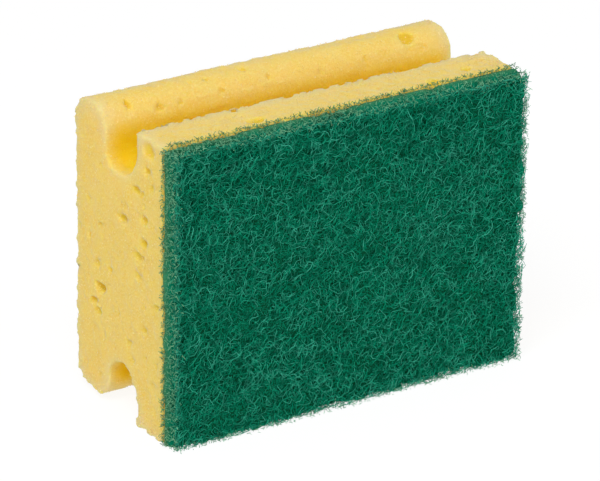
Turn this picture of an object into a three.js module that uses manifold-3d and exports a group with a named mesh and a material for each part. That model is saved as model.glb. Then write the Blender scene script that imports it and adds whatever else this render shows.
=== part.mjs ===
// A sponge scourer with finger grooves: a profiled block of soft foam with a fibrous scouring pad bonded to one face.
// Millimetres. +X runs along the length, -Y is the scouring side, +Z is up.
// The sponge stands on a long edge, and the origin is on the ground under the middle of it.

import * as THREE from "three";
import { mergeVertices } from "three/addons/utils/BufferGeometryUtils.js";
import Module from "manifold-3d";

// The whole sponge
const LENGTH = 92;
const HEIGHT = 70;

// The scouring pad: a lofty web of coarse fibres, flat only where it is bonded
const PAD_THICKNESS = 5.2;
const PAD_HOLLOW = 1.3; // depth of the hollows between tufts
const PAD_FRAY = 0.6; // how far the cut edges are ragged
const TUFT_PITCH = 1.7;
const TUFT_DRIFT = 0.5; // how far a tuft wanders from an even spacing
const BOND_LINE = 0.3; // between the pad and the foam

// The foam, from the pad to the back
const FACE_LAYER = 10.7;
const GROOVE_RADIUS = 5.6;
const GRIP_THICKNESS = 14.6;

// The finger grooves and the grip that they leave
const TOP_GROOVE_DEPTH = 11.4;
const BASE_GROOVE_DEPTH = 12.5;
const TOP_ROLL_RADIUS = 9; // where the grip rolls over into a groove
const BASE_ROLL_RADIUS = 7;
const TOP_BACK_RADIUS = 4.6;
const BASE_BACK_WIDTH = 7.4; // the lower back edge is a flatter, wider round
const BASE_BACK_HEIGHT = 5.5;

// Facets
const ARC_STEPS = 7;
const BUBBLE_SIDES = 9;
const BUBBLE_RINGS = 6;

// Places across the thickness, measured back from the tips of the pad
const FOAM_FRONT = PAD_THICKNESS + BOND_LINE;
const GROOVE_FRONT = FOAM_FRONT + FACE_LAYER;
const GROOVE_MIDDLE = GROOVE_FRONT + GROOVE_RADIUS;
const FOAM_BACK = GROOVE_FRONT + 2 * GROOVE_RADIUS + GRIP_THICKNESS;

const LEFT_END = -LENGTH / 2;
const RIGHT_END = LENGTH / 2;
const QUARTER = Math.PI / 2;

// Large bubbles that show as pits: [behind the foam's front, height, breadth, tallness] on the left end
const LEFT_END_BUBBLES = [
  [5.6, 67.4, 2.9, 3.2],
  [6.3, 62.3, 1.5, 1.5],
  [10.5, 55.8, 2.1, 1.4],
  [4.0, 59.5, 1.3, 2.0],
  [16.0, 47.8, 2.0, 1.2],
  [7.1, 50.6, 1.5, 1.8],
  [7.8, 45.0, 1.7, 1.8],
  [9.5, 41.1, 2.6, 1.7],
  [9.9, 36.5, 2.4, 1.6],
  [27.1, 33.1, 1.3, 1.6],
  [25.9, 28.1, 2.4, 2.3],
  [27.9, 22.9, 2.9, 1.7],
  [7.2, 24.5, 1.6, 1.4],
  [13.1, 19.4, 1.7, 1.6],
  [2.7, 31.7, 1.2, 1.4],
  [3.5, 13.2, 1.4, 1.4],
  [11.1, 4.4, 1.3, 1.5],
];

// On the narrow top of the face layer: [along from the left end, behind the foam's front, length, breadth]
const LEDGE_BUBBLES = [
  [24.9, 1.9, 4.2, 2.2],
  [71.3, 1.1, 3.6, 2.6],
  [82.1, 4.0, 2.6, 1.7],
  [25.4, 10.5, 3.2, 1.4],
];

// On the roll of the grip: [along from the left end, degrees from level round towards the back, length, breadth]
const ROLL_BUBBLES = [
  [81.9, 108, 2.3, 3.2],
  [40.0, 88, 2.4, 2.4],
  [44.4, 34, 1.2, 1.6],
  [82.6, 18, 2.4, 1.2],
];

// The other faces have bubbles of the same kind, scattered
const RIGHT_END_BUBBLE_COUNT = 15;
const BACK_BUBBLE_COUNT = 22;
const BUBBLE_MARGIN = 3; // kept from the edges of a scattered face
const SMALL_BUBBLE = 1.1;
const LARGE_BUBBLE = 3.2;
const BUBBLE_DEPTH = 0.45; // as a share of the bubble's mean width

// Where each scatter of chance starts
const RIGHT_END_CHANCE = 71;
const BACK_CHANCE = 1931;
const TUFT_CHANCE = 407;

const WELD = 1e-3; // corners closer than this are one corner

const FOAM_YELLOW = "#e9cb6a";
const PAD_GREEN = "#0d6b50";

const wasm = await Module();
wasm.setup();

// A closed three.js geometry as a solid that can be cut
function solidFrom(geometry) {
  const bare = geometry.clone();
  bare.deleteAttribute("normal");
  bare.deleteAttribute("uv");
  const merged = mergeVertices(bare, WELD);
  return new wasm.Manifold(
    new wasm.Mesh({
      numProp: 3,
      vertProperties: new Float32Array(merged.attributes.position.array),
      triVerts: new Uint32Array(merged.index.array),
    }),
  );
}

function geometryFrom(solid) {
  const mesh = solid.getMesh();
  const geometry = new THREE.BufferGeometry();
  geometry.setAttribute("position", new THREE.BufferAttribute(mesh.vertProperties, 3));
  geometry.setIndex(new THREE.BufferAttribute(mesh.triVerts, 1));
  geometry.computeVertexNormals();
  return geometry;
}

// An even, repeatable scatter of numbers from 0 to 1: each is the one before times a factor, wrapped at a large prime
const FACTOR = 48271;
const WRAP = 2147483647;

function scatterFrom(start) {
  let state = start;
  return () => {
    state = (state * FACTOR) % WRAP;
    return state / WRAP;
  };
}

// A groove is a half round against the face layer's straight wall. It meets the grip's roll without a corner: the two
// arcs touch where a line between their centres crosses. A groove deeper than both radii has a straight wall there.
function grooveAndRoll(depth, rollRadius) {
  const reach = GROOVE_RADIUS + rollRadius;
  const drop = Math.min(0, depth - reach);
  const run = Math.sqrt(reach * reach - drop * drop);
  return {
    grooveInset: depth - GROOVE_RADIUS,
    rollMiddle: GROOVE_MIDDLE + run,
    lean: Math.atan2(-drop, run),
  };
}

const topGroove = grooveAndRoll(TOP_GROOVE_DEPTH, TOP_ROLL_RADIUS);
const baseGroove = grooveAndRoll(BASE_GROOVE_DEPTH, BASE_ROLL_RADIUS);

// The foam's section, seen from the left end with the pad's side at 0, drawn anticlockwise from the front lower corner.
// A round on the back edge reaches no further than the middle of the roll beside it.
function foamOutline() {
  const outline = new THREE.Shape();
  const baseBackWidth = Math.min(BASE_BACK_WIDTH, FOAM_BACK - baseGroove.rollMiddle);
  const topBackRadius = Math.min(TOP_BACK_RADIUS, FOAM_BACK - topGroove.rollMiddle);
  outline.moveTo(FOAM_FRONT, 0);
  outline.lineTo(GROOVE_FRONT, 0);
  outline.absarc(GROOVE_MIDDLE, baseGroove.grooveInset, GROOVE_RADIUS, Math.PI, baseGroove.lean, true);
  outline.absarc(
    baseGroove.rollMiddle,
    BASE_ROLL_RADIUS,
    BASE_ROLL_RADIUS,
    Math.PI + baseGroove.lean,
    3 * QUARTER,
    false,
  );
  outline.absellipse(
    FOAM_BACK - baseBackWidth,
    BASE_BACK_HEIGHT,
    baseBackWidth,
    BASE_BACK_HEIGHT,
    -QUARTER,
    0,
    false,
  );
  outline.absarc(FOAM_BACK - topBackRadius, HEIGHT - topBackRadius, topBackRadius, 0, QUARTER, false);
  outline.absarc(
    topGroove.rollMiddle,
    HEIGHT - TOP_ROLL_RADIUS,
    TOP_ROLL_RADIUS,
    QUARTER,
    Math.PI - topGroove.lean,
    false,
  );
  outline.absarc(
    GROOVE_MIDDLE,
    HEIGHT - topGroove.grooveInset,
    GROOVE_RADIUS,
    -topGroove.lean,
    -Math.PI,
    true,
  );
  outline.lineTo(GROOVE_FRONT, HEIGHT);
  outline.lineTo(FOAM_FRONT, HEIGHT);
  outline.closePath();
  return outline;
}

// A bubble that a cut laid open: an oval hollow centred on the cut face. Sizes are along X, Y and Z.
function bubble(x, y, z, sizeX, sizeY, sizeZ) {
  const oval = new THREE.SphereGeometry(0.5, BUBBLE_SIDES, BUBBLE_RINGS);
  oval.scale(sizeX, sizeY, sizeZ);
  oval.translate(x, y, z);
  return solidFrom(oval);
}

function endBubble(end, [behind, up, breadth, tallness]) {
  const depth = BUBBLE_DEPTH * (breadth + tallness);
  return bubble(end, FOAM_FRONT + behind, up, depth, breadth, tallness);
}

function ledgeBubble([along, behind, length, breadth]) {
  const depth = BUBBLE_DEPTH * (length + breadth);
  return bubble(LEFT_END + along, FOAM_FRONT + behind, HEIGHT, length, breadth, depth);
}

function rollBubble([along, degrees, length, breadth]) {
  const angle = Math.PI - THREE.MathUtils.degToRad(degrees);
  const behind = topGroove.rollMiddle + TOP_ROLL_RADIUS * Math.cos(angle);
  const up = HEIGHT - TOP_ROLL_RADIUS + TOP_ROLL_RADIUS * Math.sin(angle);
  return bubble(LEFT_END + along, behind, up, length, breadth, breadth);
}

// Bubbles of mixed size for a face that spans two ranges, each given as [start, length]
function scatteredBubbles(count, chance, across, upward, place) {
  const draw = scatterFrom(chance);
  const within = ([start, span]) => start + BUBBLE_MARGIN + draw() * (span - 2 * BUBBLE_MARGIN);
  const size = () => SMALL_BUBBLE + (LARGE_BUBBLE - SMALL_BUBBLE) * draw() ** 2;
  return Array.from({ length: count }, () => place([within(across), within(upward), size(), size()]));
}

function foamBubbles() {
  const frontToBack = [0, FOAM_BACK - FOAM_FRONT];
  const web = [BASE_GROOVE_DEPTH, HEIGHT - BASE_GROOVE_DEPTH - TOP_GROOVE_DEPTH];
  const rightEnd = (place) => endBubble(RIGHT_END, place);
  const back = ([along, up, length, tallness]) =>
    bubble(along, FOAM_BACK, up, length, BUBBLE_DEPTH * (length + tallness), tallness);
  return [
    ...LEFT_END_BUBBLES.map((place) => endBubble(LEFT_END, place)),
    ...LEDGE_BUBBLES.map(ledgeBubble),
    ...ROLL_BUBBLES.map(rollBubble),
    ...scatteredBubbles(RIGHT_END_BUBBLE_COUNT, RIGHT_END_CHANCE, frontToBack, web, rightEnd),
    ...scatteredBubbles(BACK_BUBBLE_COUNT, BACK_CHANCE, [LEFT_END, LENGTH], web, back),
  ];
}

function foamBody() {
  const block = new THREE.ExtrudeGeometry(foamOutline(), {
    depth: LENGTH,
    bevelEnabled: false,
    curveSegments: ARC_STEPS,
  });
  block.translate(0, 0, LEFT_END);
  // The section's own axes become Y and Z, and the way it is drawn out becomes X
  const [x, y, z] = [new THREE.Vector3(1, 0, 0), new THREE.Vector3(0, 1, 0), new THREE.Vector3(0, 0, 1)];
  block.applyMatrix4(new THREE.Matrix4().makeBasis(y, z, x));
  const pits = wasm.Manifold.union(foamBubbles());
  return geometryFrom(solidFrom(block).subtract(pits));
}

// The pad's web of fibres: tufts and hollows over its face and cut edges. It is made a little too thick and then
// trimmed flat at the back, where the bond holds it.
function scouringPad() {
  const spare = TUFT_PITCH;
  const [across, through, upward] = [LENGTH, PAD_THICKNESS + spare, HEIGHT];
  const steps = [across, through, upward].map((size) => Math.round(size / TUFT_PITCH));
  const web = new THREE.BoxGeometry(across, through, upward, ...steps);
  web.translate(0, through / 2, HEIGHT / 2);
  web.deleteAttribute("normal");
  web.deleteAttribute("uv");
  const tufts = mergeVertices(web, WELD);

  const draw = scatterFrom(TUFT_CHANCE);
  const place = tufts.attributes.position;
  // A corner on a cut edge frays inwards, and any other wanders to either side
  const moved = (value, low, high) => {
    const chance = draw();
    if (value < low + WELD) return value + PAD_FRAY * chance;
    if (value > high - WELD) return value - PAD_FRAY * chance;
    return value + TUFT_DRIFT * (chance - 0.5);
  };
  for (let i = 0; i < place.count; i++) {
    const facing = place.getY(i) < WELD;
    place.setX(i, moved(place.getX(i), LEFT_END, RIGHT_END));
    place.setZ(i, moved(place.getZ(i), 0, HEIGHT));
    if (facing) place.setY(i, PAD_HOLLOW * draw());
  }
  const beyond = new THREE.BoxGeometry(2 * LENGTH, 2 * spare, 3 * HEIGHT);
  beyond.translate(0, PAD_THICKNESS + spare, HEIGHT / 2);
  return geometryFrom(solidFrom(tufts).subtract(solidFrom(beyond)));
}

function named(name, geometry, colour, roughness) {
  const material = new THREE.MeshStandardMaterial({ color: colour, roughness, metalness: 0 });
  const mesh = new THREE.Mesh(geometry, material);
  mesh.name = name;
  return mesh;
}

const sponge = new THREE.Group();
sponge.add(named("foam_body", foamBody(), FOAM_YELLOW, 0.95));
sponge.add(named("scouring_pad", scouringPad(), PAD_GREEN, 0.9));
sponge.position.y = -FOAM_BACK / 2;

export default sponge;
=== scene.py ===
"""A sponge scourer: fine open foam with finger grooves, and a lofty green web of fibres bonded to one face.

Shapes are worked out in millimetres, in the frame's axes, and turned into metres where a mesh is made.
"""

import itertools
import math

import bpy
import numpy as np
from mathutils import Matrix, Vector

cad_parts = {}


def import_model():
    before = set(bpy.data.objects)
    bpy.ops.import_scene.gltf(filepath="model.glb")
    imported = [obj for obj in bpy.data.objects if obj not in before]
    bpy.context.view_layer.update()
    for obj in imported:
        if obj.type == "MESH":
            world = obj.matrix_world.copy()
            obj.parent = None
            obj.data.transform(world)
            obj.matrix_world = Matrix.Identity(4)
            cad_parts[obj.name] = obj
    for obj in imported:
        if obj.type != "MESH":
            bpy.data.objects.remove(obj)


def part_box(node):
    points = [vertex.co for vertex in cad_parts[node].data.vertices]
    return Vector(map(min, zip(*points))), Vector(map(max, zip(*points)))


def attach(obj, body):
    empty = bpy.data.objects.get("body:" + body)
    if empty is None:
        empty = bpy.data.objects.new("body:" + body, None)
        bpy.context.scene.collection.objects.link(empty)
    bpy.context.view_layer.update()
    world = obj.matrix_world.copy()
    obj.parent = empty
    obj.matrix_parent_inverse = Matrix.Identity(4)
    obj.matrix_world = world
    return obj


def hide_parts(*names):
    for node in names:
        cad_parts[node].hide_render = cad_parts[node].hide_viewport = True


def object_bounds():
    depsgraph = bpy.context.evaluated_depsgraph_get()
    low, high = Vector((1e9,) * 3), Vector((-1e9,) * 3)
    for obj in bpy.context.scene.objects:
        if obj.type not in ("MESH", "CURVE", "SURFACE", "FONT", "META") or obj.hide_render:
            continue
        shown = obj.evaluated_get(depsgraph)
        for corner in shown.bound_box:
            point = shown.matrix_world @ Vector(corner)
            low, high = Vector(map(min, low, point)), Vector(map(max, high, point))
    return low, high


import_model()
cad_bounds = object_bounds()

MM = 0.001

# The whole object, from the frame
LEFT_END, PAD_TIPS, _ = (side / MM for side in cad_bounds[0])
RIGHT_END, FOAM_BACK, HEIGHT = (side / MM for side in cad_bounds[1])
FOAM_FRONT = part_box("foam_body")[0].y / MM
PAD_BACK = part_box("scouring_pad")[1].y / MM
LENGTH = RIGHT_END - LEFT_END

# The foam's section. The grip sits a little higher than the face layer, at its top and under it.
FACE_LAYER = 11.2
GRIP_RISE = 0.9
GRIP_LIFT = 1.5
GROOVE_FRONT = FOAM_FRONT + FACE_LAYER
TOP_GROOVE_WIDTH = 12.4
TOP_GROOVE_DEPTH = 12.1
TOP_GROOVE_FRONT = (6.5, 8.0)  # its front side curves in: how far back, and over how much height
TOP_GROOVE_CORNER = 3.5
TOP_ROLL_RADIUS = 5.9
TOP_BACK_RADIUS = 5.6
BASE_GROOVE_WIDTH = 11.6
BASE_GROOVE_DEPTH = 12.5
BASE_GROOVE_LEAN = (6.6, 8.5)  # its front side slopes: how far back, and over how much height
BASE_GROOVE_CORNER = 5.0
BASE_ROLL_RADIUS = 5.0
BASE_BACK_WIDTH = 7.4
BASE_BACK_HEIGHT = 4.5

# Large bubbles on the left end: behind the foam's front, height, breadth, tallness, depth
LEFT_END_BUBBLES = [
    (5.8, 67.3, 4.2, 3.1, 0.9),
    (6.5, 62.2, 2.5, 1.4, 0.8),
    (11.2, 56.4, 3.3, 1.4, 1.0),
    (8.7, 56.2, 1.8, 1.1, 0.6),
    (4.6, 59.0, 1.6, 1.9, 0.6),
    (16.7, 47.7, 3.4, 1.6, 1.3),
    (7.7, 50.4, 2.7, 1.9, 1.0),
    (15.0, 50.9, 1.7, 1.1, 0.5),
    (8.2, 44.9, 2.9, 1.8, 1.1),
    (10.1, 41.1, 4.6, 2.0, 0.8),
    (10.1, 36.4, 3.7, 1.8, 0.6),
    (27.4, 33.2, 2.1, 1.9, 0.8),
    (22.7, 35.5, 1.8, 1.2, 0.4),
    (26.2, 27.9, 4.3, 2.4, 1.5),
    (29.1, 23.6, 3.4, 1.7, 1.1),
    (27.0, 21.8, 3.4, 1.7, 1.1),
    (19.0, 24.1, 1.7, 1.2, 0.5),
    (3.3, 31.6, 2.5, 1.4, 0.6),
    (7.9, 24.3, 2.9, 1.3, 0.7),
    (14.0, 19.1, 2.1, 1.4, 0.6),
    (26.0, 43.1, 2.6, 1.2, 0.5),
    (4.4, 12.7, 1.8, 1.4, 0.5),
    (13.0, 15.2, 2.0, 1.4, 0.5),
]
# On the narrow top of the face layer: along from the left end, behind the foam's front, length, breadth
LEDGE_BUBBLES = [
    (25.5, 2.6, 4.2, 2.6),
    (71.3, 1.3, 3.8, 2.6),
    (81.8, 4.1, 2.8, 1.8),
    (35.2, 9.7, 1.5, 1.2),
    (24.4, 10.4, 3.0, 1.4),
]
# On the roll of the grip: along from the left end, degrees from level round towards the back, length, breadth
ROLL_BUBBLES = [
    (81.6, 64, 3.5, 3.9),
    (38.4, 80, 2.3, 2.0),
    (43.2, 42, 1.3, 1.7),
    (50.4, 36, 1.8, 1.0),
    (30.9, 36, 1.7, 1.3),
    (20.1, 32, 2.0, 1.2),
    (14.7, 31, 3.0, 1.3),
    (7.2, 56, 1.1, 2.2),
    (84.5, 32, 2.4, 1.2),
    (68.9, 34, 1.6, 1.1),
    (37.8, 33, 1.5, 1.0),
    (25.4, 43, 1.2, 1.0),
]
RIGHT_END_BUBBLE_COUNT = 15
BACK_BUBBLE_COUNT = 22
BUBBLE_MARGIN = 3.0
SMALL_BUBBLE = 1.1
LARGE_BUBBLE = 3.2
BUBBLE_DEPTH = 0.45  # as a share of its mean width
BUBBLE_SEED = 71

# The foam's fine surface
FOAM_PITCH = 0.56
END_ROUND = 0.5  # where the outer faces meet the cut ends
BUBBLE_ROUND = 0.25
PINHOLES = 500
PINHOLE_RADII = (0.25, 0.6)
PINHOLE_STRETCH = (0.8, 1.3)  # each way by itself
PINHOLES_FROM_BOND = 1.0  # none is nearer to the bonded face than this
FOAM_SEED = 407
FOAM_GRAIN = [(0.57, 0.08), (1.2, 0.025), (3.5, 0.015), (14.0, 0.05)]  # wavelength, height
CRUMBS = 30000  # burst cell walls that stand out of the cut faces
CRUMB_RADII = (0.12, 0.28)
CRUMB_FLATNESS = 0.6  # how tall a crumb is beside its breadth
CRUMB_STRETCH = (0.6, 1.2)  # how far out each corner is, beside the crumb's radius
CRUMB_SCATTER = 0.3  # how far a crumb may lie from its quad's middle, as a share of the grid's pitch
CRUMBS_FROM_BOND = 0.5
CRUMB_SEED = 83
GLOW_REACH = 6.0  # how far round a place the foam counts towards its warm glow, which is painted bounce light
GLOW_AHEAD = 6.0  # the glow is told by the foam this far in front of the surface, as in a groove
GLOW_SHARES = (0.16, 0.44)  # from no glow to full
GLOW_SKIN = 1.6  # deeper than this under the block's surface, as in a bubble, there is no glow
GLOW_END_FADE = 4.0  # and it fades over this much towards the cut ends
RIM_REACH = 3.0  # the painted sheen that pales the edges is told by how little foam there is within this
RIM_FROM = 0.47  # the share of foam at which an edge begins to pale, and over what share it pales
RIM_SPAN = 0.25
END_STEEPNESS = 1.7  # gives the cut ends about the fall that the blur gives the other edges
HOLLOW_FROM = 0.15  # how deep under the block's surface the painted shade and bounce light of a hollow begin, and over what depth
HOLLOW_SPAN = 0.6
BOND_FLAT = 0.2  # next to the bond the foam has no grain
BOND_FADE = 1.5  # and away from it the grain of the foam and of the web grows over this much
HIDDEN_MARGIN = 2.0  # the single bonded face stops this far inside the edges
HIDDEN_DEPTH = 0.1  # and takes in what lies this near to the bonded plane

# The pad's web
PAD_PITCH = 0.66
PAD_TOP_DROP = 0.4  # its top edge lies this much lower than the foam's
PAD_CORE_INSET = 0.9  # the dense middle of the web stays this far inside the tips and the cut edges
REACHES_RIGHT = 0.6  # the web lies this much further at its right edge
PAD_ROOT_INSET = -0.3  # but it laps over the line where it is bonded
WEB_ROOT = FOAM_FRONT - 0.05
PAD_GRAIN = [(0.9, 0.22), (2.4, 0.20), (7.0, 0.12)]  # wavelength, height
PAD_ROUND = 1.2
PAD_SEED = 93

# Camera: a long lens a metre away, turned to the left end and above it
CAMERA_TARGET = Vector((-4.28, -6.0, 35.575)) * MM
CAMERA_DISTANCE = 0.97253
CAMERA_AZIMUTH = math.radians(-33.713)
CAMERA_ELEVATION = math.radians(23.327)
CAMERA_ROLL = math.radians(0.706)
CAMERA_LENS = 262.75
SENSOR_WIDTH = 36.0


# Shapes as fields of distance on a grid


def section_arc(centre, radii, start, end, steps=24):
    angles = np.linspace(start, end, steps)
    return np.column_stack([centre[0] + radii[0] * np.cos(angles), centre[1] + radii[1] * np.sin(angles)])


def top_roll():
    """The centre of the roll along the grip's top."""
    return GROOVE_FRONT + TOP_GROOVE_WIDTH + TOP_ROLL_RADIUS, HEIGHT + GRIP_RISE - TOP_ROLL_RADIUS


def foam_outline():
    """The foam's section as (place across the thickness, height), anticlockwise seen from the left end."""
    quarter = math.pi / 2
    groove_back = GROOVE_FRONT + BASE_GROOVE_WIDTH
    groove_top = GROOVE_FRONT + BASE_GROOVE_LEAN[0]
    top_floor = HEIGHT - TOP_GROOVE_DEPTH
    front_width, front_height = TOP_GROOVE_FRONT
    return np.vstack([
        [(FOAM_FRONT, 0), (GROOVE_FRONT, 0)],
        section_arc(
            (groove_top, BASE_GROOVE_DEPTH - BASE_GROOVE_LEAN[1]),
            BASE_GROOVE_LEAN,
            math.pi,
            quarter,
        ),
        section_arc(
            (groove_top, BASE_GROOVE_DEPTH - BASE_GROOVE_CORNER),
            (groove_back - groove_top, BASE_GROOVE_CORNER),
            quarter,
            0,
        ),
        section_arc(
            (groove_back + BASE_ROLL_RADIUS, GRIP_LIFT + BASE_ROLL_RADIUS),
            (BASE_ROLL_RADIUS, BASE_ROLL_RADIUS),
            math.pi,
            3 * quarter,
        ),
        section_arc(
            (FOAM_BACK - BASE_BACK_WIDTH, GRIP_LIFT + BASE_BACK_HEIGHT),
            (BASE_BACK_WIDTH, BASE_BACK_HEIGHT),
            -quarter,
            0,
        ),
        section_arc(
            (FOAM_BACK - TOP_BACK_RADIUS, HEIGHT + GRIP_RISE - TOP_BACK_RADIUS),
            (TOP_BACK_RADIUS, TOP_BACK_RADIUS),
            0,
            quarter,
        ),
        section_arc(top_roll(), (TOP_ROLL_RADIUS, TOP_ROLL_RADIUS), quarter, math.pi),
        section_arc(
            (GROOVE_FRONT + TOP_GROOVE_WIDTH - TOP_GROOVE_CORNER, top_floor + TOP_GROOVE_CORNER),
            (TOP_GROOVE_CORNER, TOP_GROOVE_CORNER),
            0,
            -quarter,
        ),
        section_arc(
            (GROOVE_FRONT + front_width, top_floor + front_height),
            (front_width, front_height),
            -quarter,
            -math.pi,
        ),
        [(GROOVE_FRONT, HEIGHT), (FOAM_FRONT, HEIGHT)],
    ])


def outline_distance(outline, across, upward):
    """Signed distance from each place of a grid to a closed outline, below 0 inside."""
    place = np.stack(np.meshgrid(across, upward, indexing="ij"), -1)[:, :, None]
    side = np.roll(outline, -1, 0) - outline
    share = ((place - outline) * side).sum(-1) / np.maximum((side**2).sum(1), 1e-12)
    nearest = outline + share.clip(0, 1)[..., None] * side
    distance = np.sqrt(((place - nearest) ** 2).sum(-1).min(-1))
    start, end = outline, outline + side
    spans = (start[:, 1] > place[..., 1]) != (end[:, 1] > place[..., 1])
    rise = np.where(side[:, 1] == 0, 1e-12, side[:, 1])
    crossing = start[:, 0] + (place[..., 1] - start[:, 1]) / rise * side[:, 0]
    inside = (spans & (place[..., 0] < crossing)).sum(-1) % 2 == 1
    return np.where(inside, -distance, distance)


def smooth_max(one, other, reach):
    """The greater of two distances, blended where they differ by less than reach: a rounded edge."""
    blend = np.maximum(reach - np.abs(one - other), 0) / reach
    return np.maximum(one, other) + reach * blend**3 / 6


def spline_weights(places, wavelength):
    """How much each point of a lattice counts at each place along one axis."""
    steps = (places - places[0]) / wavelength
    first = np.floor(steps).astype(int)
    part = steps - first
    weights = np.zeros((len(places), first.max() + 4))
    rows = np.arange(len(places))
    weights[rows, first] = (1 - part) ** 3 / 6
    weights[rows, first + 1] = (3 * part**3 - 6 * part**2 + 4) / 6
    weights[rows, first + 2] = (-3 * part**3 + 3 * part**2 + 3 * part + 1) / 6
    weights[rows, first + 3] = part**3 / 6
    return weights


def grain_field(axes, wavelength, rng):
    """Smooth noise on the grid, of that wavelength and a spread of 1."""
    along, across, upward = (spline_weights(places, wavelength) for places in axes)
    lattice = rng.standard_normal((along.shape[1], across.shape[1], upward.shape[1]))
    field = np.tensordot(along, lattice, (1, 0))
    field = np.matmul(across, field)
    field = np.matmul(field, upward.T)
    return field / field.std()


def grid_axes(low, high, pitch):
    margin = 2 * pitch
    return [np.arange(a - margin, b + margin + pitch, pitch) for a, b in zip(low, high)]


def cut_bubble(field, axes, centre, radii):
    """Cuts an oval hollow from the field. Only the grid near it is touched."""
    reach = max(radii) + 2 * FOAM_PITCH
    window = tuple(
        slice(*np.searchsorted(places, (middle - reach, middle + reach)))
        for places, middle in zip(axes, centre)
    )
    x, y, z = (places[part] for places, part in zip(axes, window))
    x, y, z = x[:, None, None], y[None, :, None], z[None, None, :]
    squares = [((places - middle) / radius) ** 2 for places, middle, radius in zip((x, y, z), centre, radii)]
    share = np.sqrt(squares[0] + squares[1] + squares[2])
    field[window] = smooth_max(field[window], (1 - share) * min(radii), BUBBLE_ROUND)


def surface_of(field, axes):
    """A net of quads on the field's zero level: one point in each cell that the surface passes through."""
    inside = field < 0
    steps = [slice(None, -1), slice(1, None)]
    corners = [(i, j, k) for i in (0, 1) for j in (0, 1) for k in (0, 1)]
    count = sum(inside[steps[i], steps[j], steps[k]].astype(np.int8) for i, j, k in corners)
    crossed = (count > 0) & (count < 8)
    cell = np.argwhere(crossed)
    number = np.full(crossed.shape, -1)
    number[crossed] = np.arange(len(cell))
    value = {c: field[tuple((cell + c).T)] for c in corners}

    total, met = np.zeros((len(cell), 3)), np.zeros(len(cell))
    for start in corners:
        for axis in range(3):
            if start[axis]:
                continue
            end = tuple(1 if a == axis else s for a, s in enumerate(start))
            one, other = value[start], value[end]
            cuts = (one < 0) != (other < 0)
            share = np.where(cuts, one / np.where(one == other, 1, one - other), 0)
            point = np.tile(np.array(start, float), (len(cell), 1))
            point[:, axis] = share
            total += point * cuts[:, None]
            met += cuts
    spot = cell + total / met[:, None]
    pitch = axes[0][1] - axes[0][0]
    points = np.array([places[0] for places in axes]) + spot * pitch

    quads = []
    for axis in range(3):
        one, other = np.roll(np.arange(3), -axis)[1:]
        before = np.take(inside, range(field.shape[axis] - 1), axis)
        after = np.take(inside, range(1, field.shape[axis]), axis)
        at = np.argwhere(before != after)
        at = at[(at[:, one] > 0) & (at[:, other] > 0)]
        at = at[(at[:, one] < field.shape[one] - 1) & (at[:, other] < field.shape[other] - 1)]
        leaving = before[tuple(at.T)]
        ring = []
        for shift_one, shift_other in ((0, 0), (1, 0), (1, 1), (0, 1)):
            back = at.copy()
            back[:, one] -= shift_one
            back[:, other] -= shift_other
            ring.append(number[tuple(back.T)])
        ring = np.column_stack(ring)
        quads.append(np.where(leaving[:, None], ring[:, ::-1], ring)[:, ::-1])
    return points, np.vstack(quads)


def one_face_for(hidden, points, quads):
    """Replaces the quads marked hidden, one flat patch, by a single face with the same rim."""
    patch = quads[hidden]
    edges = np.concatenate([np.column_stack([patch[:, i], patch[:, (i + 1) % 4]]) for i in range(4)])
    known = {(a, b) for a, b in edges.tolist()}
    following = {a: b for a, b in known if (b, a) not in known}
    first = next(iter(sorted(following)))
    rim = [first]
    while following[rim[-1]] != first:
        rim.append(following[rim[-1]])
        if len(rim) > len(following):
            raise RuntimeError("the rim of the hidden patch doesn't close")
    kept = quads[~hidden]
    used = np.unique(np.concatenate([kept.ravel(), rim]))
    renumber = np.full(len(points), -1)
    renumber[used] = np.arange(len(used))
    return points[used], renumber[kept], renumber[np.array([rim])]


def blurred(picture, reach):
    """A flat array blurred by a bell curve of that spread, counted in cells."""
    for axis in (0, 1):
        place = np.arange(picture.shape[axis])
        weight = np.exp(-0.5 * ((place[:, None] - place) / reach) ** 2)
        weight /= weight.sum(0).max()
        picture = np.moveaxis(np.tensordot(weight, picture, (1, axis)), 0, axis)
    return picture


def sampled(field, axes, points):
    """The field's value at each point, between the grid's places."""
    pitch = axes[0][1] - axes[0][0]
    spot = (points - np.array([places[0] for places in axes])) / pitch
    base = np.floor(spot).astype(int)
    part = spot - base
    value = np.zeros(len(points))
    for corner in itertools.product((0, 1), repeat=field.ndim):
        weight = np.prod(np.where(corner, part, 1 - part), axis=1)
        value += weight * field[tuple((base + corner).T)]
    return value


# Pieces and materials


def piece_from(name, points, faces, material, tones=None, smooth=True):
    """A mesh piece that rides on the frame. faces is a list of arrays, one for each number of corners."""
    corners = np.concatenate([group.ravel() for group in faces])
    sizes = np.concatenate([np.full(len(group), group.shape[1]) for group in faces])
    starts = np.concatenate([[0], np.cumsum(sizes)[:-1]])
    mesh = bpy.data.meshes.new(name)
    mesh.vertices.add(len(points))
    mesh.vertices.foreach_set("co", (points * MM).astype(np.float32).ravel())
    mesh.loops.add(len(corners))
    mesh.loops.foreach_set("vertex_index", corners.astype(np.int32))
    mesh.polygons.add(len(sizes))
    mesh.polygons.foreach_set("loop_start", starts.astype(np.int32))
    mesh.polygons.foreach_set("use_smooth", np.full(len(sizes), smooth))
    mesh.update(calc_edges=True)
    for tone, values in (tones or {}).items():
        mesh.attributes.new(tone, "FLOAT", "POINT").data.foreach_set("value", values.astype(np.float32))
    mesh.materials.append(material)
    piece = bpy.data.objects.new(name, mesh)
    bpy.context.scene.collection.objects.link(piece)
    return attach(piece, "root")


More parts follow.
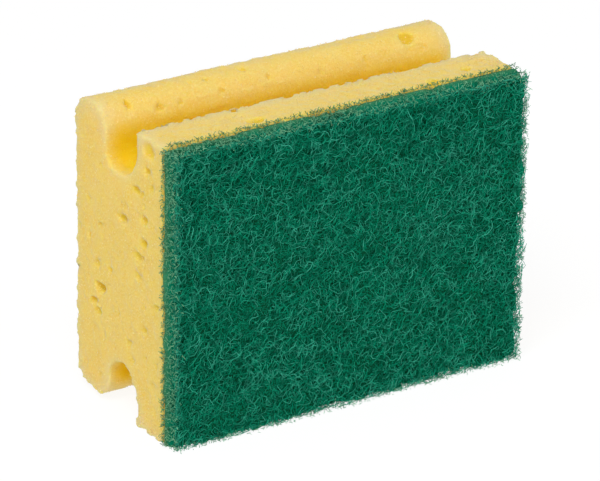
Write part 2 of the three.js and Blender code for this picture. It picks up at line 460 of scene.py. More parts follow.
class Nodes:
    """A short way to add shader nodes and join them."""

    def __init__(self, name):
        self.material = bpy.data.materials.new(name)
        self.material.use_nodes = True
        self.tree = self.material.node_tree
        self.tree.nodes.clear()

    def add(self, kind, settings=None, **inputs):
        """A node with its settings and inputs. An input is a value, or another node's output."""
        node = self.tree.nodes.new("ShaderNode" + kind)
        for key, value in (settings or {}).items():
            setattr(node, key, value)
        for key, value in inputs.items():
            self.set(node.inputs[key.replace("_", " ")], value)
        return node

    def set(self, socket, value):
        if isinstance(value, bpy.types.NodeSocket):
            self.tree.links.new(value, socket)
        else:
            socket.default_value = value

    def millimetres(self):
        """The place in the object, with one unit to the millimetre."""
        place = self.add("TexCoord").outputs["Object"]
        return self.add("VectorMath", {"operation": "SCALE"}, Vector=place, Scale=1 / MM).outputs["Vector"]

    def noise(self, place, wavelength, detail=1.0, roughness=0.5):
        node = self.add("TexNoise", Vector=place, Scale=1 / wavelength, Detail=detail, Roughness=roughness)
        return node.outputs["Fac"]

    def cells(self, place, width, feature="F1"):
        return self.add("TexVoronoi", {"feature": feature}, Vector=place, Scale=1 / width).outputs["Distance"]

    def mapped(self, value, low, high, to_low=0.0, to_high=1.0):
        node = self.add("MapRange", {"interpolation_type": "SMOOTHSTEP"}, Value=value)
        for key, number in (("From Min", low), ("From Max", high), ("To Min", to_low), ("To Max", to_high)):
            self.set(node.inputs[key], number)
        return node.outputs["Result"]

    def sums(self, operation, one, other):
        node = self.add("Math", {"operation": operation})
        self.set(node.inputs[0], one)
        self.set(node.inputs[1], other)
        return node.outputs["Value"]

    def mixed(self, share, one, other):
        """One colour where share is 0, the other where it is 1."""
        node = self.add("Mix", {"data_type": "RGBA"})
        self.set(node.inputs["Factor"], share)
        self.set(node.inputs[6], one)
        self.set(node.inputs[7], other)
        return node.outputs[2]

    def bump(self, height, depth, strength=1.0):
        return self.add("Bump", Height=height, Distance=depth * MM, Strength=strength).outputs["Normal"]

    def finish(self, **inputs):
        shader = self.add("BsdfPrincipled", **inputs)
        output = self.add("OutputMaterial")
        self.set(output.inputs["Surface"], shader.outputs["BSDF"])
        return self.material


def colour(red, green, blue):
    return (red, green, blue, 1.0)


FOAM_PALE = colour(0.88, 0.67, 0.200)
FOAM_MIDDLE = colour(0.84, 0.570, 0.092)
# painted shade and bounce light: the deeper, warmer colour inside hollows
FOAM_DEEP = colour(0.80, 0.585, 0.045)
# painted bounce light: the warm colour of shut-in places such as the grooves
FOAM_GLOW = colour(0.88, 0.61, 0.016)
# painted sheen: the paler colour of edges and of faces seen edge-on
FOAM_RIM_SHEEN = colour(0.74, 0.600, 0.300)
FOAM_CRUMB = colour(0.91, 0.75, 0.360)
CELL_WIDTH = 0.42  # of the foam's cells, and then of its grain and of its clouds
GRAIN_WIDTH = 0.5
CLOUD_WIDTH = 5.0
CRUMB_GRAIN = 0.6


def foam_material():
    nodes = Nodes("foam")
    place = nodes.millimetres()
    cells = nodes.cells(place, CELL_WIDTH)
    grain = nodes.noise(place, GRAIN_WIDTH, 2.0)
    clouds = nodes.noise(place, CLOUD_WIDTH, 2.0)
    speckle = nodes.sums("MULTIPLY", nodes.mapped(cells, 0.15, 0.75), nodes.mapped(grain, 0.3, 0.7))
    surface = nodes.mixed(nodes.mapped(clouds, 0.3, 0.7, 0.0, 0.3), FOAM_MIDDLE, FOAM_PALE)
    surface = nodes.mixed(speckle, surface, FOAM_PALE)
    # painted shade and bounce light: places deeper in a hollow take a deeper, warmer colour
    hollow = nodes.add("Attribute", {"attribute_name": "hollow"}).outputs["Fac"]
    surface = nodes.mixed(hollow, surface, FOAM_DEEP)
    # painted sheen: edges, and faces seen edge-on, pale towards the rim colour
    rim = nodes.add("Attribute", {"attribute_name": "rim"}).outputs["Fac"]
    turned_away = nodes.add("LayerWeight", Blend=0.5).outputs["Facing"]
    edge = nodes.sums("MAXIMUM", nodes.mapped(rim, 0.0, 1.0, 0.0, 0.75), nodes.mapped(turned_away, 0.5, 1.0))
    surface = nodes.mixed(edge, surface, FOAM_RIM_SHEEN)
    # painted bounce light: shut-in places, such as the grooves, take the warm glow colour
    glow = nodes.add("Attribute", {"attribute_name": "glow"}).outputs["Fac"]
    surface = nodes.mixed(glow, surface, FOAM_GLOW)
    open_air = nodes.mapped(glow, 0.0, 1.0, 1.0, 0.0)
    height = nodes.sums("ADD", nodes.mapped(cells, 0.0, 0.6), nodes.sums("MULTIPLY", grain, 0.8))
    return nodes.finish(
        Base_Color=surface,
        Roughness=0.9,
        Specular_IOR_Level=nodes.sums("MULTIPLY", open_air, 0.15),
        Subsurface_Weight=0.7,
        Subsurface_Radius=(1.0, 0.7, 0.15),
        Subsurface_Scale=0.006,
        Sheen_Weight=nodes.sums("MULTIPLY", open_air, 0.08),
        Sheen_Roughness=0.6,
        Normal=nodes.bump(height, 0.12, 0.8),
    )


def crumb_material():
    """Burst cell walls, a little paler than the foam."""
    nodes = Nodes("foam_crumbs")
    place = nodes.millimetres()
    surface = nodes.mixed(nodes.mapped(nodes.noise(place, CRUMB_GRAIN), 0.35, 0.65), FOAM_PALE, FOAM_CRUMB)
    # painted bounce light: crumbs in shut-in places take the warm glow colour too
    glow = nodes.add("Attribute", {"attribute_name": "glow"}).outputs["Fac"]
    surface = nodes.mixed(nodes.mapped(glow, 0.0, 1.0, 0.0, 0.9), surface, FOAM_GLOW)
    return nodes.finish(Base_Color=surface, Roughness=0.9, Specular_IOR_Level=0.05)


# the darkest green: painted shade deep in the web, and the dark end of the fibres' random tone
PAD_DARK = colour(0.000, 0.052, 0.022)
PAD_MIDDLE = colour(0.000, 0.315, 0.168)
PAD_LIGHT = colour(0.060, 0.500, 0.340)
# painted light: the paler colour of the loose cut ends round the edges, where they catch the light
PAD_CUT_LIT = colour(0.300, 0.600, 0.340)
# painted bounce light from the yellow foam on the web near the bond
PAD_FOAM_BOUNCE = colour(0.420, 0.520, 0.160)
BY_FOAM_DEPTH = 2.6  # how far from the bond, and how far inside the cut edges, painted bounce light from the foam tints the web
BY_FOAM_REACH = 2.0
WEB_CLOUDS = 1.9
RESIN_WIDTH = 0.35
STRAND_WIDTH = 0.8


def near_pad_edge(nodes, place, reach):
    """1 at the pad's cut edges, falling to 0 at reach inside them."""
    split = nodes.add("SeparateXYZ", Vector=place)
    middle = (LEFT_END + RIGHT_END) / 2
    across = nodes.sums("ABSOLUTE", nodes.sums("SUBTRACT", split.outputs["X"], middle), 0.0)
    across = nodes.sums("SUBTRACT", LENGTH / 2, across)
    upward = nodes.sums("ABSOLUTE", nodes.sums("SUBTRACT", split.outputs["Z"], HEIGHT / 2), 0.0)
    upward = nodes.sums("SUBTRACT", HEIGHT / 2, upward)
    return nodes.mapped(nodes.sums("MINIMUM", across, upward), 0.0, reach, 1.0, 0.0)


def foam_bounce(nodes, place, share):
    """How much painted bounce light from the foam the web takes near where it is bonded, at its cut edges."""
    behind = nodes.add("SeparateXYZ", Vector=place).outputs["Y"]
    near = nodes.mapped(behind, PAD_BACK - BY_FOAM_DEPTH, PAD_BACK, 0.0, share)
    return nodes.sums("MULTIPLY", near, near_pad_edge(nodes, place, BY_FOAM_REACH))


def fibre_material():
    nodes = Nodes("pad_fibres")
    place = nodes.millimetres()
    tone = nodes.add("Attribute", {"attribute_name": "tone"}).outputs["Fac"]
    cut = nodes.add("Attribute", {"attribute_name": "cut"}).outputs["Fac"]
    clouds = nodes.noise(place, WEB_CLOUDS, 2.0)
    resin = nodes.noise(place, RESIN_WIDTH, 2.0)
    surface = nodes.mixed(nodes.mapped(tone, 0.0, 0.6), PAD_DARK, PAD_MIDDLE)
    surface = nodes.mixed(nodes.mapped(tone, 0.5, 1.0), surface, PAD_LIGHT)
    surface = nodes.mixed(nodes.mapped(clouds, 0.33, 0.55, 0.45, 0.0), surface, PAD_DARK)
    surface = nodes.mixed(nodes.mapped(resin, 0.55, 0.75, 0.0, 0.35), surface, PAD_LIGHT)
    # lighter within reach of the cut edges: partly the thinner web there, partly painted light where the
    # edges catch the light
    near_edge = nodes.mapped(near_pad_edge(nodes, place, 2.4), 0.0, 1.0, 0.0, 0.35)
    surface = nodes.mixed(near_edge, surface, PAD_LIGHT)
    # painted light on the cut ends round the edges, more on the lighter fibres
    cut_lit = nodes.sums("MULTIPLY", cut, nodes.mapped(tone, 0.0, 0.7, 0.1, 0.7))
    surface = nodes.mixed(cut_lit, surface, PAD_CUT_LIT)
    surface = nodes.mixed(foam_bounce(nodes, place, 0.2), surface, PAD_FOAM_BOUNCE)
    return nodes.finish(
        Base_Color=surface,
        Roughness=nodes.mapped(resin, 0.3, 0.7, 0.4, 0.7),
        Specular_IOR_Level=0.04,
        Normal=nodes.bump(resin, 0.03, 0.6),
    )


def pad_core_material():
    nodes = Nodes("pad_core")
    place = nodes.millimetres()
    strands = nodes.noise(place, STRAND_WIDTH, 3.0, 0.65)
    ridge = nodes.sums("ABSOLUTE", nodes.sums("SUBTRACT", strands, 0.5), 0.0)
    line = nodes.mapped(ridge, 0.0, 0.06, 1.0, 0.0)
    # painted shade: the core's dark ground stands for the depths of the web between the fibres; its lines are
    # strands
    surface = nodes.mixed(nodes.sums("MULTIPLY", line, 0.7), PAD_DARK, PAD_MIDDLE)
    # lighter within reach of the cut edges: partly the thinner web there, partly painted light where the
    # edges catch the light
    near_edge = nodes.mapped(near_pad_edge(nodes, place, 2.0), 0.0, 1.0, 0.0, 0.5)
    surface = nodes.mixed(near_edge, surface, PAD_MIDDLE)
    surface = nodes.mixed(foam_bounce(nodes, place, 0.15), surface, PAD_FOAM_BOUNCE)
    return nodes.finish(
        Base_Color=surface,
        Roughness=0.85,
        Specular_IOR_Level=0.05,
        Normal=nodes.bump(line, 0.12, 0.8),
    )


# The foam


def bubble_places():
    """Every large bubble as (centre, radii)."""
    roll = top_roll()
    found = []

    def add(x, y, z, size_x, size_y, size_z):
        found.append(((x, y, z), (size_x / 2, size_y / 2, size_z / 2)))

    def on_end(end, behind, up, breadth, tallness):
        add(end, FOAM_FRONT + behind, up, BUBBLE_DEPTH * (breadth + tallness), breadth, tallness)

    def on_back(along, up, length, tallness):
        add(along, FOAM_BACK, up, length, BUBBLE_DEPTH * (length + tallness), tallness)

    for behind, up, breadth, tallness, depth in LEFT_END_BUBBLES:
        add(LEFT_END, FOAM_FRONT + behind, up, 2 * depth, breadth, tallness)
    for along, behind, length, breadth in LEDGE_BUBBLES:
        add(LEFT_END + along, FOAM_FRONT + behind, HEIGHT, length, breadth, BUBBLE_DEPTH * (length + breadth))
    for along, degrees, length, breadth in ROLL_BUBBLES:
        angle = math.pi - math.radians(degrees)
        across = roll[0] + TOP_ROLL_RADIUS * math.cos(angle)
        up = roll[1] + TOP_ROLL_RADIUS * math.sin(angle)
        add(LEFT_END + along, across, up, length, breadth, breadth)

    rng = np.random.default_rng(BUBBLE_SEED)

    def within(low, high):
        return low + BUBBLE_MARGIN + rng.random() * (high - low - 2 * BUBBLE_MARGIN)

    def size():
        return SMALL_BUBBLE + (LARGE_BUBBLE - SMALL_BUBBLE) * rng.random() ** 2

    for _ in range(RIGHT_END_BUBBLE_COUNT):
        behind = within(0, FOAM_BACK - FOAM_FRONT)
        on_end(RIGHT_END, behind, within(BASE_GROOVE_DEPTH, HEIGHT - TOP_GROOVE_DEPTH), size(), size())
    for _ in range(BACK_BUBBLE_COUNT):
        along = within(LEFT_END, RIGHT_END)
        on_back(along, within(BASE_GROOVE_DEPTH, HEIGHT - TOP_GROOVE_DEPTH), size(), size())
    return found


def foam():
    low, high = (LEFT_END, FOAM_FRONT, 0), (RIGHT_END, FOAM_BACK, HEIGHT + GRIP_RISE)
    axes = grid_axes(low, high, FOAM_PITCH)
    x, y, z = axes
    section = outline_distance(foam_outline(), y, z)
    ends = np.abs(x - (LEFT_END + RIGHT_END) / 2) - LENGTH / 2
    ends = np.broadcast_to(ends[:, None, None], (len(x), *section.shape))
    block = smooth_max(section[None], ends, END_ROUND)
    field = block.copy()

    rng = np.random.default_rng(FOAM_SEED)
    for centre, radii in bubble_places():
        cut_bubble(field, axes, centre, radii)
    skin = np.abs(block) < 0.5 * FOAM_PITCH
    near = np.argwhere(skin & (y > FOAM_FRONT + PINHOLES_FROM_BOND)[None, :, None])
    chosen = near[rng.choice(len(near), PINHOLES, replace=False)]
    corner = np.array([places[0] for places in axes])
    small, large = PINHOLE_RADII
    for at in chosen:
        radius = small + (large - small) * rng.random() ** 3
        centre = corner + (at + rng.random(3) - 0.5) * FOAM_PITCH
        cut_bubble(field, axes, centre, radius * rng.uniform(*PINHOLE_STRETCH, 3))

    bond = ((y - FOAM_FRONT - BOND_FLAT) / BOND_FADE).clip(0, 1)[None, :, None]
    for wavelength, height in FOAM_GRAIN:
        field += bond * height * grain_field(axes, wavelength, rng)
    points, quads = surface_of(field, axes)

    middle = points[quads].mean(1)
    hidden = (middle[:, 1] < FOAM_FRONT + HIDDEN_DEPTH) & (np.abs(middle[:, 0]) < LENGTH / 2 - HIDDEN_MARGIN)
    hidden &= (middle[:, 2] > HIDDEN_MARGIN) & (middle[:, 2] < HEIGHT - HIDDEN_MARGIN)
    points, quads, rim = one_face_for(hidden, points, quads)
    points[:, 2] = points[:, 2].clip(0, None)
    # painted shade and bounce light in hollows, by depth under the block's surface
    depth = -sampled(block, axes, points)
    hollow = ((depth - HOLLOW_FROM) / HOLLOW_SPAN).clip(0, 1)
    material = foam_material()
    tones = {"hollow": hollow, **foam_light(points)}
    piece = piece_from("foam_block", points, [quads, rim], material, tones)
    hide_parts("foam_body")
    foam_crumbs(points[quads[points[quads[:, 0], 1] > FOAM_FRONT + CRUMBS_FROM_BOND]])
    return piece


def foam_light(points):
    """Painted light at each point: how much warm bounce light it glows with from the foam across a groove,
    and how much paler sheen it takes from being near an edge.
    """
    margin = GLOW_AHEAD + 3 * GLOW_REACH
    across = np.arange(FOAM_FRONT - margin, FOAM_BACK + margin, FOAM_PITCH)
    upward = np.arange(-margin, HEIGHT + margin, FOAM_PITCH)
    section = outline_distance(foam_outline(), across, upward)
    slope = np.gradient(section, FOAM_PITCH)
    from_end = LENGTH / 2 - np.abs(points[:, 0])

    def at(picture, places):
        return sampled(picture, (across, upward), places)

    place = points[:, 1:]
    inside = (section < 0).astype(float)
    backed = inside.copy()
    backed[(across < FOAM_FRONT) & (across > PAD_TIPS)] = (upward > 0) & (upward < HEIGHT)
    level = at(section, place)
    ahead = place + GLOW_AHEAD * np.column_stack([at(part, place) for part in slope])
    shut_in = at(blurred(inside, GLOW_REACH / FOAM_PITCH), ahead)
    low_share, high_share = GLOW_SHARES
    glow = ((shut_in - low_share) / (high_share - low_share)).clip(0, 1)
    glow *= (level + GLOW_SKIN).clip(0, 1) * (from_end / GLOW_END_FADE).clip(0, 1)

    depth_share = at(blurred(backed, RIM_REACH / FOAM_PITCH), place)
    end_share = 1 / (1 + np.exp(-END_STEEPNESS * from_end / RIM_REACH))
    rim = ((RIM_FROM - depth_share * end_share) / RIM_SPAN).clip(0, 1)
    return {"glow": glow, "rim": rim}


def foam_crumbs(patches):
    """Tiny four-sided grains that roughen the foam's faces and its silhouette."""
    rng = np.random.default_rng(CRUMB_SEED)
    patch = patches[rng.choice(len(patches), CRUMBS)]
    outward = np.cross(patch[:, 2] - patch[:, 0], patch[:, 3] - patch[:, 1])
    outward /= np.linalg.norm(outward, axis=1, keepdims=True) + 1e-9
    centre = patch.mean(1) + rng.uniform(-CRUMB_SCATTER, CRUMB_SCATTER, (CRUMBS, 3)) * FOAM_PITCH
    centre[:, 1] = centre[:, 1].clip(FOAM_FRONT + CRUMBS_FROM_BOND, None)
    centre[:, 2] = centre[:, 2].clip(max(CRUMB_RADII), None)
    corners = np.array([(1, 1, 1), (1, -1, -1), (-1, 1, -1), (-1, -1, 1)]) / math.sqrt(3)
    turn, _ = np.linalg.qr(rng.standard_normal((CRUMBS, 3, 3)))
    turn *= np.sign(np.linalg.det(turn))[:, None, None]
    radius = rng.uniform(*CRUMB_RADII, (CRUMBS, 1, 1))
    spread = corners * rng.uniform(*CRUMB_STRETCH, (CRUMBS, 4, 1))
    spread = radius * np.matmul(spread, turn)
    tall = (spread * outward[:, None]).sum(-1, keepdims=True)
    spread -= (1 - CRUMB_FLATNESS) * tall * outward[:, None]
    points = (centre[:, None] + spread).reshape(-1, 3)
    sides = np.array([(0, 1, 2), (0, 3, 1), (0, 2, 3), (1, 3, 2)])
    faces = (4 * np.arange(CRUMBS)[:, None, None] + sides).reshape(-1, 3)
    piece_from("foam_crumbs", points, [faces], crumb_material(), foam_light(points), smooth=False)


# The scouring pad


def pad_core():
    """The dense middle of the web, rough on every side that shows."""
    inset = PAD_CORE_INSET
    low = np.array((LEFT_END + inset, PAD_TIPS + inset, inset - 0.3))
    high = np.array((RIGHT_END + REACHES_RIGHT - inset, WEB_ROOT, HEIGHT - PAD_TOP_DROP - inset))
    axes = grid_axes(low - 1, high + 1, PAD_PITCH)
    x, y, z = axes
    middle, half = (low + high) / 2, (high - low) / 2
    apart = [np.abs(places - m) - h for places, m, h in zip(axes, middle, half)]
    flare = (inset - PAD_ROOT_INSET) * ((y - PAD_TIPS) / (WEB_ROOT - PAD_TIPS)).clip(0, 1) ** 2
    field = smooth_max(apart[0][:, None, None], apart[2][None, None, :], PAD_ROUND) - flare[None, :, None]
    field = smooth_max(field, np.broadcast_to(apart[1][None, :, None], (len(x), len(y), len(z))), PAD_ROUND)
    rng = np.random.default_rng(PAD_SEED)
    free = ((WEB_ROOT - y) / BOND_FADE).clip(0, 1)[None, :, None]
    for wavelength, height in PAD_GRAIN:
        field = field + free * height * grain_field(axes, wavelength, rng)
    points, quads = surface_of(field, axes)
    centre = points[quads].mean(1)
    hidden = centre[:, 1] > WEB_ROOT - HIDDEN_DEPTH
    hidden &= np.abs(centre[:, 0] - middle[0]) < half[0] - HIDDEN_MARGIN
    hidden &= np.abs(centre[:, 2] - middle[2]) < half[2] - HIDDEN_MARGIN
    points, quads, rim = one_face_for(hidden, points, quads)
    points[:, 2] = points[:, 2].clip(0, None)
    piece = piece_from("pad_web", points, [quads, rim], pad_core_material())
    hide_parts("scouring_pad")
    return piece


def tubes(name, paths, radii, tone, cut, material):
    """Closed three-sided tubes along paths, an array of fibres by stations by places."""
    count, stations, _ = paths.shape
    along = np.gradient(paths, axis=1)
    along /= np.linalg.norm(along, axis=2, keepdims=True)
    aside = np.cross(along, (0.31, 0.83, 0.47))
    aside /= np.linalg.norm(aside, axis=2, keepdims=True)
    other = np.cross(along, aside)
    rings = []
    for corner in range(3):
        angle = 2 * math.pi * corner / 3
        rings.append(paths + radii[..., None] * (math.cos(angle) * aside + math.sin(angle) * other))
    points = np.stack(rings, 2)
    number = np.arange(count * stations * 3).reshape(count, stations, 3)
    here, there = number[:, :-1], number[:, 1:]
    turned = [1, 2, 0]
    walls = np.stack([here, here[..., turned], there[..., turned], there], -1).reshape(-1, 4)
    caps = np.vstack([number[:, 0, ::-1], number[:, -1]])
    tones = {"tone": np.repeat(tone, stations * 3), "cut": np.repeat(cut, stations * 3)}
    return piece_from(name, points.reshape(-1, 3), [walls, caps], material, tones)


FIBRE_PIECES = 3
FIBRES_PER_PIECE = 6400
FIBRE_STATIONS = 5
FIBRE_LENGTHS = (3.2, 5.6)
FIBRE_RADII = (0.045, 0.085)
CURL_RADII = (0.9, 5.0)
WEB_DEPTH = 1.5
OVERHANG = 0.5  # how far a fibre commonly reaches past a cut edge
FARTHEST_REACH = 1.5
TURN_SPREAD = 0.12  # how much a fibre's curl changes along it
KINKS = (0.2, 0.9)
KINK_RATE = 2.2
SWAYS = (0.05, 0.45)  # in and out of the face
SWAY_RATES = (0.5, 1.4)
FOREMOST = 0.1  # the foremost fibre lies this far behind the tips
RIGHT_FOLD = 0.2  # how far inside each cut edge fibres are folded back, before their reach is taken off
LEFT_FOLD = 0.4
TOP_FOLD = 0.5
BASE_FOLD = 0.1
BASE_SPREAD = 0.2  # at the base there is no reach, and a little of this is added
DEEP_SHADE = 0.65  # how much darker the deepest fibres are
TONE_LIFT = 0.10
FIBRE_SEED = 500


def folded_back(places, limit, beyond):
    """Turns the part of each path that passes the limit back inside it. beyond is 1 above it and -1 below."""
    return np.where(beyond * (places - limit) > 0, 2 * limit - places, places)


def face_fibres():
    """Curled fibres that lie over one another on the pad's face."""
    material = fibre_material()
    for part in range(FIBRE_PIECES):
        rng = np.random.default_rng(FIBRE_SEED + part)
        count = FIBRES_PER_PIECE
        start = np.column_stack([
            rng.uniform(LEFT_END, RIGHT_END + REACHES_RIGHT, count),
            rng.uniform(0.0, HEIGHT - PAD_TOP_DROP, count),
        ])
        heading = rng.uniform(0, 2 * math.pi, count)
        length = rng.uniform(*FIBRE_LENGTHS, count)
        curl = rng.choice([-1, 1], count) / np.exp(rng.uniform(*np.log(CURL_RADII), count))
        turn = rng.normal(0, TURN_SPREAD, count)
        run = np.linspace(-0.5, 0.5, FIBRE_STATIONS) * length[:, None]
        phase = rng.uniform(0, 2 * math.pi, (2, count, 1))
        kink = rng.uniform(*KINKS, count)[:, None] * np.sin(KINK_RATE * run + phase[0])
        angle = heading[:, None] + curl[:, None] * run + turn[:, None] * run**2 + kink
        step = (length / (FIBRE_STATIONS - 1))[:, None]
        x = start[:, :1] + centred_steps(np.cos(angle)) * step
        z = start[:, 1:] + centred_steps(np.sin(angle)) * step
        depth = rng.uniform(0, WEB_DEPTH, count)
        bend = rng.uniform(*SWAY_RATES, count)[:, None]
        sway = rng.uniform(*SWAYS, count)[:, None] * np.sin(bend * run + phase[1])
        y = PAD_TIPS + FOREMOST + np.abs(depth[:, None] + sway)
        reach = rng.exponential(OVERHANG, (3, count, 1)).clip(0, FARTHEST_REACH)
        x = folded_back(x, RIGHT_END + REACHES_RIGHT - RIGHT_FOLD + reach[0], 1)
        x = folded_back(x, LEFT_END + LEFT_FOLD - reach[1], -1)
        z = folded_back(z, HEIGHT - PAD_TOP_DROP - TOP_FOLD + reach[2], 1)
        z = folded_back(z, BASE_FOLD + rng.exponential(BASE_SPREAD, (count, 1)), -1)
        radius = rng.uniform(*FIBRE_RADII, count)[:, None] * np.ones(FIBRE_STATIONS)
        shade = 1 - DEEP_SHADE * (depth / WEB_DEPTH) ** 2
        tone = (rng.beta(2.5, 2.5, count) * shade + TONE_LIFT).clip(0, 1)
        tubes(f"pad_fibres_{part + 1}", np.stack([x, y, z], 2), radius, tone, np.zeros(count), material)
    return material


def centred_steps(steps):
    """Sums the steps along each path so that its middle lies at 0."""
    total = np.cumsum(steps, 1)
    return total - total[:, total.shape[1] // 2 :][:, :1]


EDGE_FIBRES = 8700
EDGE_LENGTHS = (0.4, 1.25)
EDGE_RADII = (0.05, 0.095)
EDGE_TAPER = (1.0, 0.95, 0.85)
EDGE_INSET = 0.45  # how far inside the cut edge one commonly starts
DEEPEST_INSET = 1.8
EDGE_START = 0.1  # the outermost start this far outside the cut edge, except at the base
BASE_FORWARD = 0.9  # along the base they start up to this much further forward
BONDED_SHARE = 0.22  # of them lie over the line where the web meets the foam
BONDED_SPREAD = (-0.5, 0.6)
BONDED_LIFTS = (0.02, 0.3)
# the fibres over the bond line are painted darker by this factor: painted shade where the web meets the foam
BONDED_TONE = 0.5
LEFT_ROOM = 1.0  # the farthest that a cut end stands out, on each side
RIGHT_ROOM = 1.6
FRONT_ROOM = 1.1
BACK_ROOM = 0.6
TOP_ROOM = 0.9
BASE_ROOM = 0.08  # and the lowest place it has above the floor
EDGE_SEED = 611


def edge_fibres(material):
    """Cut ends of fibres that stand out round the pad's four edges."""
    rng = np.random.default_rng(EDGE_SEED)
    count = EDGE_FIBRES
    wide = LENGTH / (LENGTH + HEIGHT)
    level = rng.random(count) < wide  # on the top or the bottom edge, and else on an end
    far = rng.random(count) < 0.5
    side = np.where(far, 1.0, -1.0)
    along = rng.random(count)
    inset = rng.exponential(EDGE_INSET, count).clip(0, DEEPEST_INSET) - EDGE_START
    right = RIGHT_END + REACHES_RIGHT
    x = np.where(level, LEFT_END + along * LENGTH, np.where(far, right - inset, LEFT_END + inset))
    z = np.where(level, np.where(far, HEIGHT - PAD_TOP_DROP - inset, inset + EDGE_START), along * HEIGHT)
    y = rng.uniform(PAD_TIPS + 0.2, PAD_BACK + 0.2, count)
    y -= np.where(level & ~far, BASE_FORWARD * rng.random(count), 0)
    bonded = rng.random(count) < BONDED_SHARE
    y = np.where(bonded, PAD_BACK + rng.uniform(*BONDED_SPREAD, count), y)
    lift = rng.uniform(*BONDED_LIFTS, count)
    x = np.where(bonded & ~level, side * (LENGTH / 2 + lift), x)
    z = np.where(bonded & level & far, HEIGHT + lift, z)
    start = np.column_stack([x, y, z])
    out = np.where(level[:, None], np.array((0, 0, 1.0)), np.array((1.0, 0, 0))) * side[:, None]
    lean = rng.normal(0, 1.0, (count, 3))
    first = out * rng.uniform(-0.5, 0.7, (count, 1)) + lean
    first /= np.linalg.norm(first, axis=1, keepdims=True)
    second = first + rng.normal(0, 0.8, (count, 3))
    second /= np.linalg.norm(second, axis=1, keepdims=True)
    length = rng.uniform(*EDGE_LENGTHS, count)[:, None]
    paths = np.stack([start, start + first * length / 2, start + (first + second) * length / 2], 1)
    paths[..., 0] = paths[..., 0].clip(LEFT_END - LEFT_ROOM, RIGHT_END + RIGHT_ROOM)
    paths[..., 1] = paths[..., 1].clip(PAD_TIPS - FRONT_ROOM, PAD_BACK + BACK_ROOM)
    paths[..., 2] = paths[..., 2].clip(BASE_ROOM, HEIGHT + TOP_ROOM)
    radius = rng.uniform(*EDGE_RADII, count)[:, None] * np.array(EDGE_TAPER)
    # painted shade: fibres over the join of web and foam are darker
    tone = rng.beta(2.0, 2.4, count) * np.where(bonded, BONDED_TONE, 1.0)
    tubes("pad_edge_fibres", paths, radius, tone, np.where(bonded, 0.0, 1.0), material)


# Floor, light and camera

FLOOR_SIZE = 8  # metres, as are the places and sizes of the lamps
FLOOR_GLOW = 0.9  # the floor's own light on the object, and what share of the floor it is
FLOOR_GLOW_SHARE = 0.75
SEEN_WHITE = 1.03  # the white that the camera sees, and what share of the floor it is
SEEN_WHITE_SHARE = 0.85
WORLD_STRENGTH = 0.50
SOFTBOXES = [  # name, place, size, power
    ("key", (-0.7, -0.6, 1.3), 0.9, 16),
    ("front", (-0.7, -1.1, 0.2), 0.8, 2),
    ("fill", (1.0, -1.1, 0.7), 0.9, 4.5),
]


def floor_material():
    """Pale lit floor: a shadow shows on it faintly, and where nothing shades it the camera sees it white."""
    nodes = Nodes("floor")
    matt = nodes.add("BsdfDiffuse", Color=colour(0.86, 0.86, 0.86)).outputs["BSDF"]
    glowing = nodes.add("Emission", Color=colour(1, 1, 1), Strength=FLOOR_GLOW).outputs["Emission"]
    bare = nodes.add("MixShader")
    nodes.set(bare.inputs[0], FLOOR_GLOW_SHARE)
    nodes.set(bare.inputs[1], matt)
    nodes.set(bare.inputs[2], glowing)
    white = nodes.add("Emission", Color=colour(1, 1, 1), Strength=SEEN_WHITE).outputs["Emission"]
    lit = nodes.add("BsdfDiffuse", Color=colour(1, 1, 1)).outputs["BSDF"]
    seen = nodes.add("MixShader")
    nodes.set(seen.inputs[0], SEEN_WHITE_SHARE)
    nodes.set(seen.inputs[1], lit)
    nodes.set(seen.inputs[2], white)
    path = nodes.add("LightPath")
    shows = nodes.sums("MAXIMUM", path.outputs["Is Camera Ray"], path.outputs["Is Glossy Ray"])
    shows = nodes.sums("MAXIMUM", shows, path.outputs["Is Transmission Ray"])
    mix = nodes.add("MixShader")
    nodes.set(mix.inputs[0], shows)
    nodes.set(mix.inputs[1], bare.outputs["Shader"])
    nodes.set(mix.inputs[2], seen.outputs["Shader"])
    nodes.set(nodes.add("OutputMaterial").inputs["Surface"], mix.outputs["Shader"])
    return nodes.material


def floor():
    bpy.ops.mesh.primitive_plane_add(size=FLOOR_SIZE)
    plane = bpy.context.object
    plane.name = "floor"
    plane.data.materials.append(floor_material())


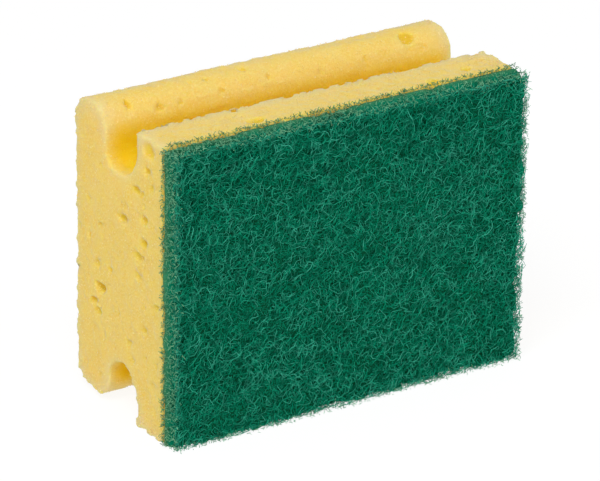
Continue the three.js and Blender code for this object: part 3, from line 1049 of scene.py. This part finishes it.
def world(strength):
    world = bpy.data.worlds.new("studio")
    bpy.context.scene.world = world
    world.use_nodes = True
    nodes, links = world.node_tree.nodes, world.node_tree.links
    nodes.clear()
    path = nodes.new("ShaderNodeLightPath")
    light = nodes.new("ShaderNodeBackground")
    light.inputs["Strength"].default_value = strength
    white = nodes.new("ShaderNodeBackground")
    shows = None
    for ray in ("Is Camera Ray", "Is Glossy Ray", "Is Transmission Ray"):
        if shows is None:
            shows = path.outputs[ray]
            continue
        either = nodes.new("ShaderNodeMath")
        either.operation = "MAXIMUM"
        links.new(shows, either.inputs[0])
        links.new(path.outputs[ray], either.inputs[1])
        shows = either.outputs[0]
    mix = nodes.new("ShaderNodeMixShader")
    links.new(shows, mix.inputs[0])
    links.new(light.outputs[0], mix.inputs[1])
    links.new(white.outputs[0], mix.inputs[2])
    links.new(mix.outputs[0], nodes.new("ShaderNodeOutputWorld").inputs["Surface"])


def softbox(name, place, size, power):
    lamp = bpy.data.lights.new(name, "AREA")
    lamp.shape = "SQUARE"
    lamp.size = size
    lamp.energy = power
    box = bpy.data.objects.new(name, lamp)
    box.location = place
    box.rotation_euler = (CAMERA_TARGET - Vector(place)).to_track_quat("-Z", "Y").to_euler()
    bpy.context.scene.collection.objects.link(box)


def camera():
    azimuth, elevation, roll = CAMERA_AZIMUTH, CAMERA_ELEVATION, CAMERA_ROLL
    back = Vector((
        math.sin(azimuth) * math.cos(elevation),
        -math.cos(azimuth) * math.cos(elevation),
        math.sin(elevation),
    ))
    right = Vector((math.cos(azimuth), math.sin(azimuth), 0))
    up = back.cross(right)
    across = right * math.cos(roll) + up * math.sin(roll)
    upward = up * math.cos(roll) - right * math.sin(roll)
    data = bpy.data.cameras.new("camera")
    data.lens = CAMERA_LENS
    data.sensor_width = SENSOR_WIDTH
    data.clip_end = 20
    eye = bpy.data.objects.new("camera", data)
    turn = Matrix((across, upward, back)).transposed().to_4x4()
    eye.matrix_world = Matrix.Translation(CAMERA_TARGET + back * CAMERA_DISTANCE) @ turn
    bpy.context.scene.collection.objects.link(eye)
    bpy.context.scene.camera = eye


camera()
foam()
pad_core()
edge_fibres(face_fibres())
floor()
world(WORLD_STRENGTH)
for softbox_name, place, size, power in SOFTBOXES:
    softbox(softbox_name, place, size, power)
bpy.context.scene.view_settings.view_transform = "Standard"
